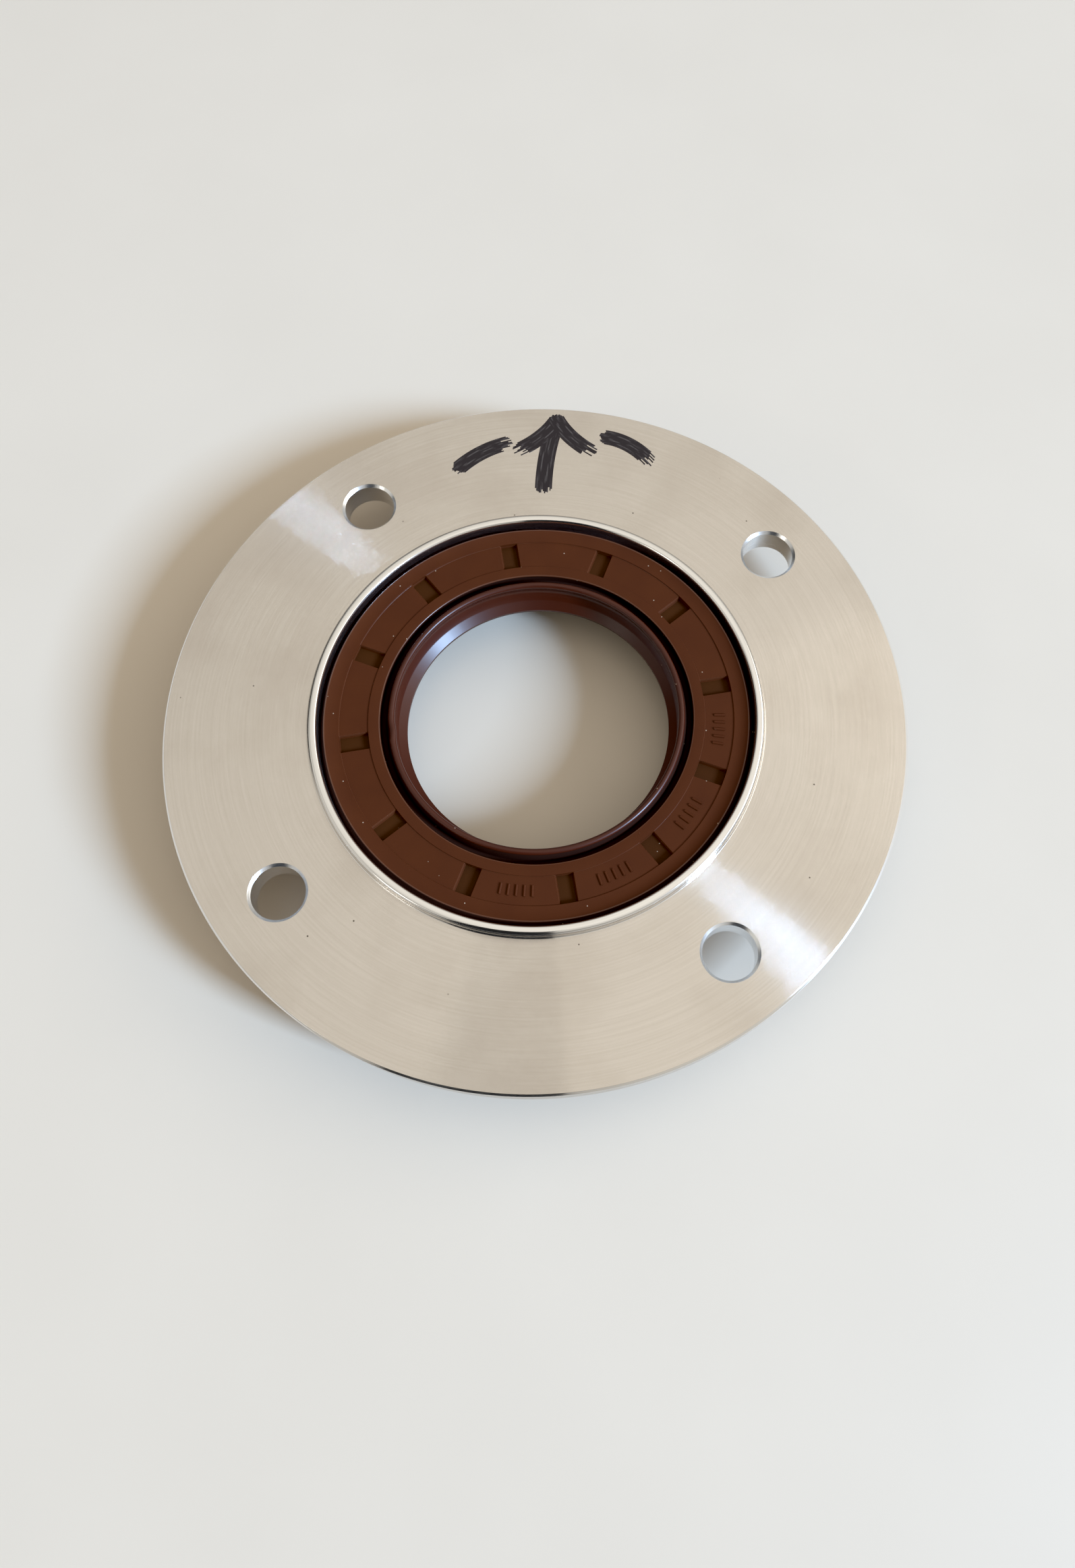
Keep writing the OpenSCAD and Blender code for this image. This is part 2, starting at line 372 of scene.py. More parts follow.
def drilled_aluminium():
    # Walls that a drill, a countersink and a boring bar cut: grey metal with soft level scores
    material, tree, shader = finish_of("drilled aluminium", {"Metallic": 1.0})
    place = add(tree, "ShaderNodeTexCoord").outputs["Object"]
    # Scores about 5 mm long and 0.4 mm apart
    per_mm = (1 / (5 * MM), 1 / (5 * MM), 1 / (0.4 * MM))
    level = add(tree, "ShaderNodeVectorMath", {0: place, 1: per_mm}, operation="MULTIPLY").outputs[0]
    score = add(tree, "ShaderNodeTexNoise", {"Vector": level, "Scale": 1.0, "Detail": 3.0}).outputs["Fac"]
    rough = add(tree, "ShaderNodeMapRange", {"Value": score, "To Min": 0.16, "To Max": 0.32}).outputs[0]
    dent = add(tree, "ShaderNodeBump", {"Height": score, "Strength": 0.25, "Distance": 0.1 * MM}).outputs[0]
    tone = add(tree, "ShaderNodeMix", {0: score, 6: linear("#e6e7e7"), 7: linear("#fafafa")},
               data_type="RGBA").outputs[2]
    tree.links.new(tone, shader.inputs["Base Color"])
    tree.links.new(rough, shader.inputs["Roughness"])
    tree.links.new(dent, shader.inputs["Normal"])
    return material


def moulded_rubber(name, dark, light, fixed, grip=0.3):
    """Fluoroelastomer with the finish of its steel mould: two browns, a fine grain and a little dust."""
    material, tree, shader = finish_of(name, fixed)
    place = add(tree, "ShaderNodeTexCoord").outputs["Object"]
    # Pigment is never quite even: patches about 5 mm wide
    patch = add(tree, "ShaderNodeTexNoise", {
        "Vector": place, "Scale": 1 / (5 * MM), "Detail": 4.0}).outputs["Fac"]
    tone = add(tree, "ShaderNodeMix", {0: patch, 6: linear(dark), 7: linear(light)},
               data_type="RGBA").outputs[2]
    # Pale lint that clings to rubber
    lint = specks(tree, place, 2.6, 0.12)
    tone = add(tree, "ShaderNodeMix", {0: lint, 6: tone, 7: linear("#a99580")}, data_type="RGBA").outputs[2]
    # The ground mould's grain, really about 0.05 mm, drawn at 0.25 mm so that it shows
    grain = add(tree, "ShaderNodeTexNoise", {
        "Vector": place, "Scale": 1 / (0.25 * MM), "Detail": 2.0}).outputs["Fac"]
    dent = add(tree, "ShaderNodeBump", {"Height": grain, "Strength": grip, "Distance": 0.02 * MM}).outputs[0]
    tree.links.new(tone, shader.inputs["Base Color"])
    tree.links.new(dent, shader.inputs["Normal"])
    return material


def satin_fluoroelastomer():
    # The seal's face, from a ground mould: chocolate brown and satin
    return moulded_rubber("satin fluoroelastomer", "#442111", "#4d2713", {
        "Roughness": 0.45, "IOR": 1.45, "Specular IOR Level": 0.12})


def glossy_fluoroelastomer():
    # The lips, from a polished mould: redder brown, with bright lines where the rubber bends
    return moulded_rubber("glossy fluoroelastomer", "#3a150a", "#431b0c", {
        "Roughness": 0.33, "IOR": 1.45, "Specular IOR Level": 0.45}, 0.05)


def dull_fluoroelastomer():
    # The notch floors, from a spark-cut mould: duller and more olive than the face
    return moulded_rubber("dull fluoroelastomer", "#381d0b", "#41230c", {
        "Roughness": 0.6, "IOR": 1.45, "Specular IOR Level": 0.1})


def painted_shade_fluoroelastomer():
    # Painted shade on the trough and the outer shoulder: nearly black rubber without shine, darker than
    # their own depth shades them
    return moulded_rubber("fluoroelastomer with painted shade", "#291812", "#311d16", {
        "Roughness": 0.7, "IOR": 1.45, "Specular IOR Level": 0.05})


def gloss_and_highlight_fluoroelastomer():
    # Edges that the mould's seams leave, rubbed smooth and glossy, with a lighter brown that paints part of
    # the thin pale highlight lines they show
    return moulded_rubber("burnished fluoroelastomer with painted highlight", "#4c2819", "#552f1a", {
        "Roughness": 0.28, "IOR": 1.45, "Specular IOR Level": 0.6}, 0.05)


def phosphated_steel():
    # Pressed steel sheet with a grey phosphate coat that rubber bonds to: dull, mottled by small crystals
    material, tree, shader = finish_of("phosphated steel", {"Metallic": 1.0})
    place = add(tree, "ShaderNodeTexCoord").outputs["Object"]
    # Crystals are a few hundredths of a millimetre wide, drawn at 0.6 mm so that they show
    fleck = add(tree, "ShaderNodeTexNoise", {
        "Vector": place, "Scale": 1 / (0.6 * MM), "Detail": 4.0}).outputs["Fac"]
    rough = add(tree, "ShaderNodeMapRange", {"Value": fleck, "To Min": 0.35, "To Max": 0.6}).outputs[0]
    tone = add(tree, "ShaderNodeMix", {0: fleck, 6: linear("#75787b"), 7: linear("#a3a5a7")},
               data_type="RGBA").outputs[2]
    tree.links.new(tone, shader.inputs["Base Color"])
    tree.links.new(rough, shader.inputs["Roughness"])
    return material


def spring_steel():
    # Drawn spring wire: bright grey, a little darker where the coiling tool rubbed it
    material, tree, shader = finish_of("drawn spring steel", {"Metallic": 1.0})
    place = add(tree, "ShaderNodeTexCoord").outputs["Object"]
    # Rubbed stretches about 0.8 mm long
    rub = add(tree, "ShaderNodeTexNoise", {
        "Vector": place, "Scale": 1 / (0.8 * MM), "Detail": 3.0}).outputs["Fac"]
    rough = add(tree, "ShaderNodeMapRange", {"Value": rub, "To Min": 0.2, "To Max": 0.38}).outputs[0]
    tone = add(tree, "ShaderNodeMix", {0: rub, 6: linear("#9a9ca0"), 7: linear("#cacccf")},
               data_type="RGBA").outputs[2]
    tree.links.new(tone, shader.inputs["Base Color"])
    tree.links.new(rough, shader.inputs["Roughness"])
    return material


def felt_pen_ink():
    # Solvent ink from a broad felt pen: brown-black film, streaked along the stroke where the nib ran dry
    material, tree, shader = finish_of("felt pen ink", {"Roughness": 0.4, "Specular IOR Level": 0.35})
    along = add(tree, "ShaderNodeTexCoord").outputs["UV"]
    # The map runs from 0 to 1 along a stroke and -1 to 1 across its nib: streaks about 0.13 mm wide
    streaks = add(tree, "ShaderNodeVectorMath", {0: along, 1: (2.5, 12, 0)}, operation="MULTIPLY").outputs[0]
    film = add(tree, "ShaderNodeTexNoise", {"Vector": streaks, "Scale": 1.0, "Detail": 3.0}).outputs["Fac"]
    thin = add(tree, "ShaderNodeMapRange", {"Value": film, "From Min": 0.52, "From Max": 0.75}).outputs[0]
    tone = add(tree, "ShaderNodeMix", {0: thin, 6: linear("#201819"), 7: linear("#564e49")},
               data_type="RGBA").outputs[2]
    tree.links.new(tone, shader.inputs["Base Color"])
    return material


def make_housing(face_metal, collar_metal, hole_metal):
    """The turned flange with its hub, collar and bolt holes."""
    lower = softened([
        (seal_r + bore_lead, 0),
        (hub_r - hub_bevel, 0),
        (hub_r, hub_bevel),
        (hub_r, flange_back),
        (flange_r - rim_bevel, flange_back),
        (flange_r, flange_back + rim_bevel),
        (flange_r, flange_front - rim_bevel),
        (flange_r - rim_bevel, flange_front),
        (collar_foot + 0.1, flange_front)], edge_break)
    foot = arc((collar_foot, flange_front + collar_fillet), collar_fillet, 270, 180, 5)
    outer = arc((collar_side - collar_round, collar_top - collar_round), collar_round, 0, 90, 14)
    inner = arc((seal_r + collar_edge, collar_top - collar_edge), collar_edge, 90, 180, 12)
    outline = lower + foot + outer + inner
    outline += [(seal_r, collar_top - 2 * collar_edge), (seal_r, 2 * bore_lead)]
    housing_lines, hole_lines = 360, 72
    piece = turned("flanged_housing", outline, housing_lines)
    over = 1.0
    cutter_outline = [
        (0, flange_back - over),
        (bolt_r + bolt_break + over, flange_back - over),
        (bolt_r, flange_back + bolt_break),
        (bolt_r, flange_front - bolt_bevel),
        (bolt_r + bolt_bevel + over, flange_front + over),
        (0, flange_front + over)]
    cutters = []
    centres = []
    for i in range(bolts["count"]):
        angle = math.radians(bolt_first + i * 360 / bolts["count"])
        cutter = turned("bolt_cutter", cutter_outline, hole_lines)
        work = bmesh.new()
        work.from_mesh(cutter.data)
        bmesh.ops.remove_doubles(work, verts=work.verts, dist=1e-7)
        centre = Vector((math.cos(angle), math.sin(angle), 0)) * bolt_ring
        centres.append(centre.xy)
        bmesh.ops.translate(work, verts=work.verts, vec=centre * MM)
        bmesh.ops.recalc_face_normals(work, faces=work.faces)
        work.to_mesh(cutter.data)
        work.free()
        cut = piece.modifiers.new("bolt hole", "BOOLEAN")
        cut.object = cutter
        cut.operation = "DIFFERENCE"
        cut.solver = "EXACT"
        cutters.append(cutter)
    keep_result(piece)
    for cutter in cutters:
        bpy.data.objects.remove(cutter)
    piece.data.materials.clear()
    for metal in (face_metal, collar_metal, hole_metal):
        piece.data.materials.append(metal)
    collar_index, hole_index = 1, 2
    for face in piece.data.polygons:
        middle = face.center / MM
        beside = min((middle.xy - centre).length for centre in centres)
        on_bevel = middle.xy.length > flange_r - rim_bevel and 0.2 < face.normal.z < 0.95
        in_bore = middle.xy.length < seal_r + 0.05 and abs(face.normal.z) < 0.3
        in_hole = beside < bolt_r + bolt_bevel and abs(face.normal.z) < 0.95
        if in_bore or in_hole:
            face.material_index = hole_index
        elif middle.z > flange_front + 0.01 or on_bevel:
            face.material_index = collar_index
    piece.data.shade_smooth()
    piece.data.set_sharp_from_angle(angle=math.radians(35))
    return piece


def rounded_step(middle, edge, steps):
    """Places and drops of a rounded step, from middle + edge at drop 0 to middle - edge at drop 1."""
    turns = [math.cos(math.pi * i / steps) for i in range(steps + 1)]
    return [(middle + edge * c * abs(c) ** 0.7, (1 - c) / 2) for c in turns]


def seal_section():
    """The rubber's outline as (r, z, share of the pads' sink), once around."""
    trough_mid = (trough_r - trough_round, trough_floor + trough_round)
    trough_foot = (trough_mid[0] - trough_round, trough_mid[1])
    face = arc(trough_mid, trough_round, 180, 360, 16)
    face += arc((trough_r + trough_edge, seal_face - trough_edge), trough_edge, 180, 90, 6)
    rows = [(r, z, 0) for r, z in face]
    rows += [(pad_in - 6 * pad_edge, seal_face, 0)]
    rows += [(2 * pad_in - r, seal_face, share) for r, share in rounded_step(pad_in, pad_edge, 6)]
    rows += [(pad_in + (pad_out - pad_in) * t, seal_face, 1) for t in (0.05, 0.3, 0.5, 0.7, 0.95)]
    rows += [(r, seal_face, share) for r, share in reversed(rounded_step(pad_out, pad_edge, 6))]
    rows += [(pad_out + 6 * pad_edge, seal_face, 0)]
    flash_in = seal_r - front_round - flash_width
    rows += [(flash_in + flash_width * t, seal_face + flash_height * math.sin(math.pi * t), 0)
             for t in (0, 0.25, 0.5, 0.75)]
    steel_wall = steel_out - steel_thk
    steel_back = steel_front - steel_thk
    bend = steel_bend + steel_thk
    seat_half = math.degrees(math.acos((head_r - coil_ring) / coil_r))
    waist_half = math.degrees(math.asin((waist_high - waist_low) / 2 / waist_round))
    waist_mid = (waist_r - waist_round * math.cos(math.radians(waist_half)), (waist_high + waist_low) / 2)
    rest = arc((seal_r - front_round, seal_face - edge_round), edge_round, 90, 15, 4)
    rest += [
        (seal_r - 0.35 * front_round, seal_face - 1.4 * front_round),
        (seal_r, seal_face - 1.7 * front_round),
        (seal_r, seal_back + back_taper),
        (seal_r - back_taper / 2, seal_back),
        (steel_wall, seal_back),
        (steel_wall, steel_end),
        (steel_out, steel_end)]
    rest += arc((steel_out - bend, steel_front - bend), bend, 0, 90, 10)
    rest += [
        (steel_in, steel_front),
        (steel_in, steel_back),
        (steel_in + lap_width, steel_back),
        (steel_in + lap_width - lap_thk, steel_back - lap_thk),
        (trough_r + lap_width, steel_back - lap_thk),
        (trough_r, web_low),
        (head_r, neck)]
    rest += arc((coil_ring, coil_height), coil_r, seat_half, 360 - seat_half, 20)
    rest += [
        (head_r, head_end + head_bevel),
        (head_r - head_bevel, head_end),
        (lip_r + lip_high - lip_land - head_end, head_end),
        (lip_r, lip_high - lip_land),
        (lip_r, lip_high)]
    lip_bend = (shaft_r, lip_high + (shaft_r - lip_r) / math.tan(math.radians(lip_lean)))
    rest += [(lip_r + (lip_bend[0] - lip_r) * t, lip_high + (lip_bend[1] - lip_high) * t)
             for t in (0.1, 0.5, 0.9)]
    rest += [lip_bend] + arc(waist_mid, waist_round, -waist_half, waist_half, 10)
    rest += arc(crest, crest_round, bearing(crest, crest_round, (waist_r, waist_high), -1) + 360,
                bearing(crest, crest_round, trough_foot, 1), 18)
    return rows + [(r, z, 0) for r, z in rest]


def seal_lines():
    """Lines around the seal as (notch angle, offset from the notch's middle, share of the pad, drop)."""
    sector = 360 / pad_count
    wall = rounded_step(notch_half, notch_edge, 7)
    wall = [(notch_half + 3 * notch_edge, 0)] + wall + [(notch_half - 3 * notch_edge, 1)]
    far = wall[0][0]
    pad_parts = 13
    lines = []
    for i in range(pad_count):
        notch = notch_first + i * sector
        lines += [(notch, -x, 0, drop) for x, drop in wall]
        lines += [(notch, 0, 0, 1)]
        lines += [(notch, x, 0, drop) for x, drop in reversed(wall)]
        lines += [(notch, far, k / pad_parts, 0) for k in range(1, pad_parts)]
    return lines


def make_seal(face_rubber, lip_rubber, notch_rubber, painted_shade_rubber, edge_rubber):
    """The moulded seal body: pads and notches on its face, trough, dust lip, waist and main lip."""
    section = seal_section()
    lines = seal_lines()
    sector = 360 / pad_count
    dent_angle, dent_half, dent_depth = 195.5, 3.0, 0.3
    vertices = []
    for r, z, share in section:
        reach = min(max(r, pad_in), pad_out)
        on_dust_lip = r < trough_r - trough_round
        rise = max(0.0, (z - trough_floor) / (seal_high.z - trough_floor)) if on_dust_lip else 0
        for notch, offset, pad_share, drop in lines:
            half = math.degrees(math.asin(offset / reach))
            angle = notch + half + pad_share * (sector - 2 * half)
            away = (angle - dent_angle + 180) % 360 - 180
            dent = dent_depth * rise ** 2 * math.exp(-(away / dent_half) ** 2)
            a = math.radians(angle)
            height = z - share * (pad_sink + drop * notch_depth)
            vertices.append(((r - dent) * math.cos(a), (r - dent) * math.sin(a), height))
    piece = plain_mesh("moulded_seal", vertices, ring_faces(len(section), len(lines)))
    piece.data.set_sharp_from_angle(angle=math.radians(45))
    for rubber in (face_rubber, lip_rubber, notch_rubber, painted_shade_rubber, edge_rubber):
        piece.data.materials.append(rubber)
    flash_out = seal_r - front_round
    trough_wall = trough_r + 0.005
    lip_index, notch_index, painted_shade_index, edge_index = 1, 2, 3, 4
    for face in piece.data.polygons:
        reach, height, lean = face.center.xy.length / MM, face.center.z / MM, face.normal.z
        on_pads = pad_in < reach < pad_out
        on_trough_edge = trough_wall < reach < trough_r + trough_edge and lean > 0.1
        on_flash = flash_out - flash_width < reach < flash_out and lean > 0
        on_notch_edge = on_pads and height > notch_floor + 0.3 * notch_depth and lean < 0.9
        in_trough = crest[0] + crest_round < reach < trough_wall and lean > -0.1
        # Painted highlight: the trough's edge, the flash line and the notch edges take the lighter, glossier
        # rubber
        if on_trough_edge or on_flash or on_notch_edge:
            face.material_index = edge_index
        # Painted shade: the trough and the outer shoulder take the nearly black rubber
        elif in_trough or (reach > flash_out and lean > 0):
            face.material_index = painted_shade_index
        elif reach < trough_wall:
            face.material_index = lip_index
        elif on_pads and abs(height - notch_floor) < 0.02:
            face.material_index = notch_index
    return piece


def make_pad_marks(rubber):
    """Raised ribs that the mould leaves in a row on each of four pads."""
    sizes = {"Rows": 4, "Marks": 5, "First row": math.radians(2.5),
             "Row spacing": math.radians(-360 / pad_count), "Mark spacing": math.radians(2.4),
             "Ring radius": (pad_in + pad_out) / 2 * MM, "Height": (seal_face - pad_sink + 0.03) * MM,
             "Bar length": 1.8 * MM, "Bar radius": 0.24 * MM}
    tree, keys, given = sized_tree("pad marks", sizes)
    count = add(tree, "ShaderNodeMath", {0: given["Rows"], 1: given["Marks"]},
                operation="MULTIPLY").outputs[0]
    line = add(tree, "GeometryNodeMeshLine", {"Count": count})
    index = add(tree, "GeometryNodeInputIndex").outputs[0]
    part = add(tree, "ShaderNodeMath", {0: index, 1: given["Marks"]}, operation="DIVIDE").outputs[0]
    row = add(tree, "ShaderNodeMath", {0: part}, operation="FLOOR").outputs[0]
    column = add(tree, "ShaderNodeMath", {0: index, 1: given["Marks"]}, operation="MODULO").outputs[0]
    last = add(tree, "ShaderNodeMath", {0: given["Marks"], 1: -0.5, 2: 0.5},
               operation="MULTIPLY_ADD").outputs[0]
    place = add(tree, "ShaderNodeMath", {0: column, 1: last}, operation="ADD").outputs[0]
    start = add(tree, "ShaderNodeMath", {0: row, 1: given["Row spacing"], 2: given["First row"]},
                operation="MULTIPLY_ADD").outputs[0]
    angle = add(tree, "ShaderNodeMath", {0: place, 1: given["Mark spacing"], 2: start},
                operation="MULTIPLY_ADD").outputs[0]
    east = add(tree, "ShaderNodeMath", {0: angle}, operation="COSINE").outputs[0]
    north = add(tree, "ShaderNodeMath", {0: angle}, operation="SINE").outputs[0]
    x = add(tree, "ShaderNodeMath", {0: east, 1: given["Ring radius"]}, operation="MULTIPLY").outputs[0]
    y = add(tree, "ShaderNodeMath", {0: north, 1: given["Ring radius"]}, operation="MULTIPLY").outputs[0]
    spot = add(tree, "ShaderNodeCombineXYZ", {"X": x, "Y": y, "Z": given["Height"]}).outputs[0]
    spots = add(tree, "GeometryNodeSetPosition", {"Geometry": line.outputs[0], "Position": spot})
    turn = add(tree, "ShaderNodeCombineXYZ", {"Z": angle}).outputs[0]
    end = add(tree, "ShaderNodeMath", {0: given["Bar length"], 1: 0.5}, operation="MULTIPLY").outputs[0]
    begin = add(tree, "ShaderNodeMath", {0: given["Bar length"], 1: -0.5}, operation="MULTIPLY").outputs[0]
    path = add(tree, "GeometryNodeCurvePrimitiveLine", {
        "Start": add(tree, "ShaderNodeCombineXYZ", {"X": begin}).outputs[0],
        "End": add(tree, "ShaderNodeCombineXYZ", {"X": end}).outputs[0]})
    profile = add(tree, "GeometryNodeCurvePrimitiveCircle", {
        "Resolution": 10, "Radius": given["Bar radius"]})
    bar = add(tree, "GeometryNodeCurveToMesh", {
        "Curve": path.outputs[0], "Profile Curve": profile.outputs["Curve"], "Fill Caps": True})
    laid = add(tree, "GeometryNodeInstanceOnPoints", {
        "Points": spots.outputs[0], "Instance": bar.outputs[0], "Rotation": turn})
    piece = grown("pad_marks", tree, keys, sizes, laid.outputs[0], rubber)
    piece.data.set_sharp_from_angle(angle=math.radians(50))
    return piece


def make_pen_mark(ink):
    """A hand-drawn arrow between two dashes, in strands of a broad nib that run dry at their ends."""
    strokes = [
        ((-21.2, 46.6), (-18.2, 50.6), (-14.0, 52.6)),
        ((-5.6, 44.6), (-6.4, 52.0), (-5.3, 58.6)),
        ((-5.3, 59.0), (-7.0, 55.0), (-10.8, 52.0)),
        ((-5.2, 59.0), (-2.8, 55.6), (1.4, 53.4)),
        ((4.4, 56.6), (8.6, 56.4), (12.4, 53.0))]
    nib, strands, steps = 3.1, 13, 20
    film_sunk, film_thk, film_step = 0.01, 0.012, 0.004
    chance = random.Random(5)
    vertices, faces, streaks = [], [], []
    for level, (begin, bend, end) in enumerate(strokes):
        begin, bend, end = Vector(begin), Vector(bend), Vector(end)
        length = (bend - begin).length + (end - bend).length
        low, high = flange_front - film_sunk, flange_front + film_thk + film_step * level
        for k in range(strands):
            side = (k + 0.5) / strands * 2 - 1
            cap = nib / 2 * math.sqrt(1 - side * side) / length
            first = -cap + 0.07 * chance.random() ** 2
            last = 1 + cap - 0.24 * chance.random() ** 2
            half = nib / strands / 2
            base = len(vertices)
            for i in range(steps + 1):
                t = first + (last - first) * i / steps
                point = begin * (1 - t) ** 2 + bend * 2 * t * (1 - t) + end * t * t
                along = (bend - begin) * (1 - t) + (end - bend) * t
                over = Vector((-along.y, along.x)).normalized()
                left, right = point + over * (side * nib / 2 - half), point + over * (side * nib / 2 + half)
                vertices += [(*left, low), (*left, high), (*right, high), (*right, low)]
                streaks += [(t, side)] * 4
            for i in range(steps):
                a = base + 4 * i
                faces += [(a + m, a + (m + 1) % 4, a + 4 + (m + 1) % 4, a + 4 + m) for m in range(4)]
            last_ring = base + 4 * steps
            faces += [(base, base + 3, base + 2, base + 1), tuple(last_ring + m for m in range(4))]
    piece = plain_mesh("pen_mark", vertices, faces)
    piece.data.shade_flat()
    layer = piece.data.uv_layers.new(name="stroke")
    for loop in piece.data.loops:
        layer.data[loop.index].uv = streaks[loop.vertex_index]
    piece.data.materials.append(ink)
    return piece


def make_insert(steel):
    """The bent steel insert that the rubber is bonded to."""
    insert_lines = 240
    bend = steel_bend + steel_thk
    mid = (steel_out - bend, steel_front - bend)
    outline = [(steel_in, steel_front - steel_thk), (steel_in, steel_front)]
    outline += arc(mid, bend, 90, 0, 10)
    outline += [(steel_out, steel_end), (steel_out - steel_thk, steel_end)]
    outline += arc(mid, steel_bend, 0, 90, 8)
    piece = turned("steel_insert", outline, insert_lines)
    piece.data.set_sharp_from_angle(angle=math.radians(35))
    piece.data.materials.append(steel)
    return piece


def make_spring(steel):
    """The close-wound garter spring, its wire laid as a coil around a ring."""
    wire_r = 0.2
    sizes = {"Ring radius": coil_ring * MM, "Coil radius": (coil_r - wire_r) * MM,
             "Wire radius": wire_r * MM, "Height": coil_height * MM, "Turns": 372, "Steps": 10}
    tree, keys, given = sized_tree("garter spring", sizes)
    count = add(tree, "ShaderNodeMath", {0: given["Turns"], 1: given["Steps"]},
                operation="MULTIPLY").outputs[0]
    ring = add(tree, "GeometryNodeCurvePrimitiveCircle", {
        "Resolution": count, "Radius": given["Ring radius"]})
    index = add(tree, "GeometryNodeInputIndex").outputs[0]
    share = add(tree, "ShaderNodeMath", {0: index, 1: count}, operation="DIVIDE").outputs[0]
    around = add(tree, "ShaderNodeMath", {0: share, 1: 2 * math.pi}, operation="MULTIPLY").outputs[0]
    twist = add(tree, "ShaderNodeMath", {0: around, 1: given["Turns"]}, operation="MULTIPLY").outputs[0]
    sway = add(tree, "ShaderNodeMath", {0: twist}, operation="COSINE").outputs[0]
    lift = add(tree, "ShaderNodeMath", {0: twist}, operation="SINE").outputs[0]
    reach = add(tree, "ShaderNodeMath", {0: sway, 1: given["Coil radius"], 2: given["Ring radius"]},
                operation="MULTIPLY_ADD").outputs[0]
    height = add(tree, "ShaderNodeMath", {0: lift, 1: given["Coil radius"], 2: given["Height"]},
                 operation="MULTIPLY_ADD").outputs[0]
    east = add(tree, "ShaderNodeMath", {0: around}, operation="COSINE").outputs[0]
    north = add(tree, "ShaderNodeMath", {0: around}, operation="SINE").outputs[0]
    x = add(tree, "ShaderNodeMath", {0: east, 1: reach}, operation="MULTIPLY").outputs[0]
    y = add(tree, "ShaderNodeMath", {0: north, 1: reach}, operation="MULTIPLY").outputs[0]
    place = add(tree, "ShaderNodeCombineXYZ", {"X": x, "Y": y, "Z": height}).outputs[0]
    path = add(tree, "GeometryNodeSetPosition", {"Geometry": ring.outputs["Curve"], "Position": place})
    wire = add(tree, "GeometryNodeCurvePrimitiveCircle", {"Resolution": 6, "Radius": given["Wire radius"]})
    swept = add(tree, "GeometryNodeCurveToMesh", {
        "Curve": path.outputs[0], "Profile Curve": wire.outputs["Curve"], "Fill Caps": False})
    return grown("garter_coil", tree, keys, sizes, swept.outputs[0], steel)


def make_floor():
    """The pale table top that the part lies on."""
    material, tree, shader = finish_of("pale table top", {"Roughness": 0.5})
    place = add(tree, "ShaderNodeTexCoord").outputs["Object"]
    # Faint clouds about 40 mm wide
    cloud = add(tree, "ShaderNodeTexNoise", {
        "Vector": place, "Scale": 1 / (40 * MM), "Detail": 4.0}).outputs["Fac"]
    tone = add(tree, "ShaderNodeMix", {0: cloud, 6: linear("#cabdab"), 7: linear("#d0c3b1")},
               data_type="RGBA").outputs[2]
    tree.links.new(tone, shader.inputs["Base Color"])
    half = 1500
    corners = [(-half, -half, 0), (half, -half, 0), (half, half, 0), (-half, half, 0)]
    piece = plain_mesh("floor", corners, [(0, 1, 2, 3)])
    piece.data.materials.append(material)


def direction(azimuth, elevation):
    """Unit vector towards a compass angle, anticlockwise from +X, and a height above the horizon."""
    a, e = math.radians(azimuth), math.radians(elevation)
    return Vector((math.cos(a) * math.cos(e), math.sin(a) * math.cos(e), math.sin(e)))


def make_camera():
    """The camera at the photograph's viewing angle."""
    aim = Vector((12.82, -10.94, flange_front))
    away = direction(-84.1, 69.89)
    distance = 185.4
    tilt = 1.71
    data = bpy.data.cameras.new("camera")
    data.sensor_width = 36.0
    data.lens = 25.99
    data.shift_x = -0.0426
    data.clip_start = 0.01
    camera = bpy.data.objects.new("camera", data)
    camera.location = (aim + away * distance) * MM
    roll = Quaternion(away, math.radians(tilt))
    camera.rotation_mode = "QUATERNION"
    camera.rotation_quaternion = roll @ (-away).to_track_quat("-Z", "Y")
    bpy.context.scene.collection.objects.link(camera)
    bpy.context.scene.camera = camera


def make_light(name, azimuth, elevation, distance, size, power, colour):
    """A soft rectangular light that faces the part."""
    data = bpy.data.lights.new(name, "AREA")
    data.shape = "RECTANGLE"
    data.size, data.size_y = size[0] * MM, size[1] * MM
    data.energy = power
    data.color = linear(colour)[:3]
    light = bpy.data.objects.new(name, data)
    away = direction(azimuth, elevation)
    light.location = away * distance * MM
    light.rotation_mode = "QUATERNION"
    light.rotation_quaternion = (-away).to_track_quat("-Z", "Y")
    bpy.context.scene.collection.objects.link(light)


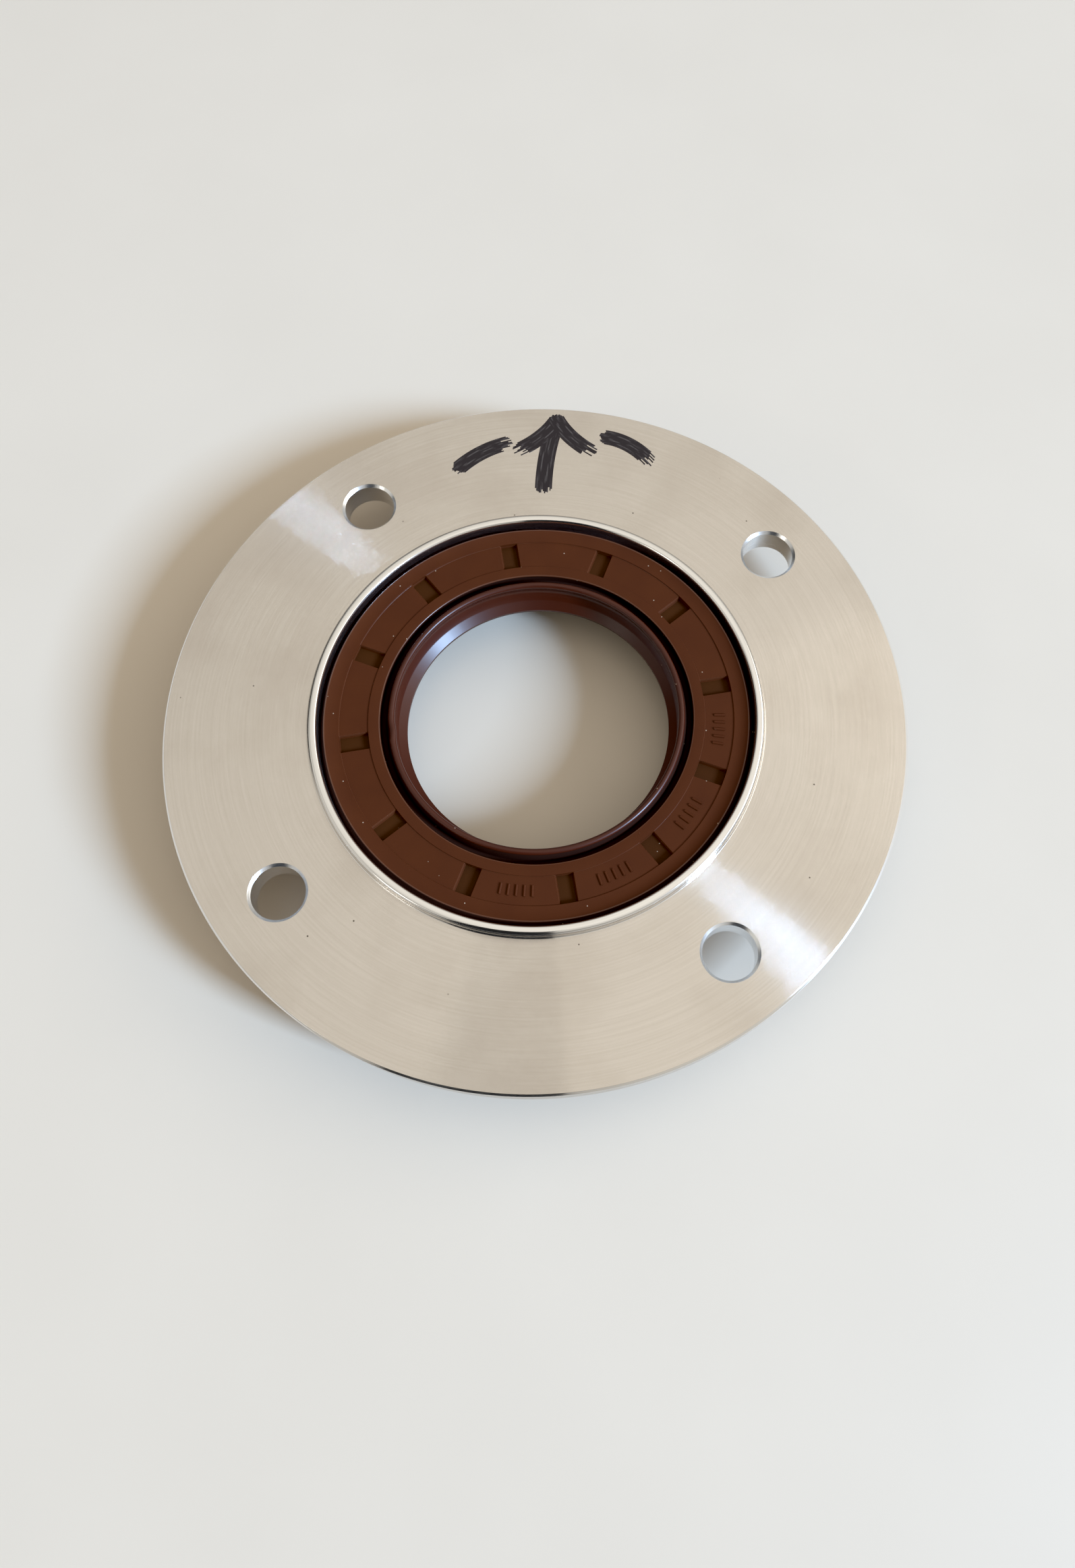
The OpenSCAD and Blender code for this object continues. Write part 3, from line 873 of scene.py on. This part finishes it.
def make_room():
    """Soft light from above and from pale walls around the part, and a plain pale backdrop to see."""
    # Brighter towards the top and a little to the far right, dark below the horizon
    brightest, horizon = (0.256, 0.195, 0.95), -0.024
    # Each pale wall: azimuth, elevation, half width as seen from the part, strength
    walls = ((22, 29.5, 0.55, 1.6), (205, 28, 0.75, 0.4), (-48, 7, 0.65, 0.5), (-147, 7, 0.65, 0.5),
             (224, 29, 0.15, 4.0))
    flatness = (1, 1, 2.5)
    world = bpy.data.worlds.new("studio")
    world.use_nodes = True
    tree = world.node_tree
    back = tree.nodes["Background"]
    towards = add(tree, "ShaderNodeTexCoord").outputs["Generated"]
    lean = add(tree, "ShaderNodeVectorMath", {0: towards, 1: brightest},
               operation="DOT_PRODUCT").outputs["Value"]
    total = add(tree, "ShaderNodeMath", {0: lean, 1: horizon}, operation="ADD", use_clamp=True).outputs[0]
    for azimuth, elevation, reach, strength in walls:
        wall = direction(azimuth, elevation)
        apart = add(tree, "ShaderNodeVectorMath", {0: towards, 1: wall}, operation="SUBTRACT").outputs[0]
        wide = add(tree, "ShaderNodeVectorMath", {0: apart, 1: flatness}, operation="MULTIPLY").outputs[0]
        off = add(tree, "ShaderNodeVectorMath", {0: wide}, operation="LENGTH").outputs["Value"]
        glow = add(tree, "ShaderNodeMapRange", {
            "Value": off, "From Min": reach, "From Max": 0.7 * reach, "To Max": strength},
            interpolation_type="SMOOTHSTEP").outputs[0]
        total = add(tree, "ShaderNodeMath", {0: total, 1: glow}, operation="ADD").outputs[0]
    back.inputs["Color"].default_value = linear("#fff9ee")
    tree.links.new(total, back.inputs["Strength"])
    backdrop = add(tree, "ShaderNodeBackground", {"Color": linear("#dedbd5")}).outputs[0]
    seen = add(tree, "ShaderNodeLightPath").outputs["Is Camera Ray"]
    shown = add(tree, "ShaderNodeMixShader", {0: seen, 1: back.outputs[0], 2: backdrop}).outputs[0]
    tree.links.new(shown, tree.nodes["World Output"].inputs["Surface"])
    bpy.context.scene.world = world


def make_card(azimuth, distance, width, height):
    """A dark card behind the camera that only reflections show."""
    material = finish_of("dark card", {"Base Color": linear("#14161c"), "Roughness": 0.9})[0]
    middle = direction(azimuth, 0) * distance
    side = Vector((-middle.y, middle.x, 0)).normalized() * width / 2
    top = Vector((0, 0, height))
    corners = [middle - side, middle + side, middle + side + top, middle - side + top]
    card = plain_mesh("dark_card", corners, [(0, 1, 2, 3)])
    card.data.materials.append(material)
    card.visible_camera = False
    card.visible_diffuse = False
    card.visible_shadow = False


housing = make_housing(turned_aluminium(), polished_aluminium(), drilled_aluminium())
mounted(housing, "housing")
satin_rubber = satin_fluoroelastomer()
seal = make_seal(satin_rubber, glossy_fluoroelastomer(), dull_fluoroelastomer(), painted_shade_fluoroelastomer(),
                 gloss_and_highlight_fluoroelastomer())
mounted(seal, "seal_body")
pad_marks = make_pad_marks(satin_rubber)
mounted(pad_marks, None)
pen_mark = make_pen_mark(felt_pen_ink())
mounted(pen_mark, None)
insert = make_insert(phosphated_steel())
mounted(insert, "steel_case")
spring = make_spring(spring_steel())
mounted(spring, "garter_spring")

make_floor()
make_camera()
make_room()
make_card(azimuth=-96, distance=600, width=380, height=1500)
make_light("window", azimuth=-19.5, elevation=31.5, distance=6000, size=(960, 1680), power=740,
           colour="#b5d6ff")
# Colours show as they are set, without a film curve, and the darkest tones a little deeper
view = bpy.context.scene.view_settings
view.view_transform = "Standard"
view.use_curve_mapping = True
view.curve_mapping.black_level = (0.005, 0.005, 0.005)
view.curve_mapping.update()
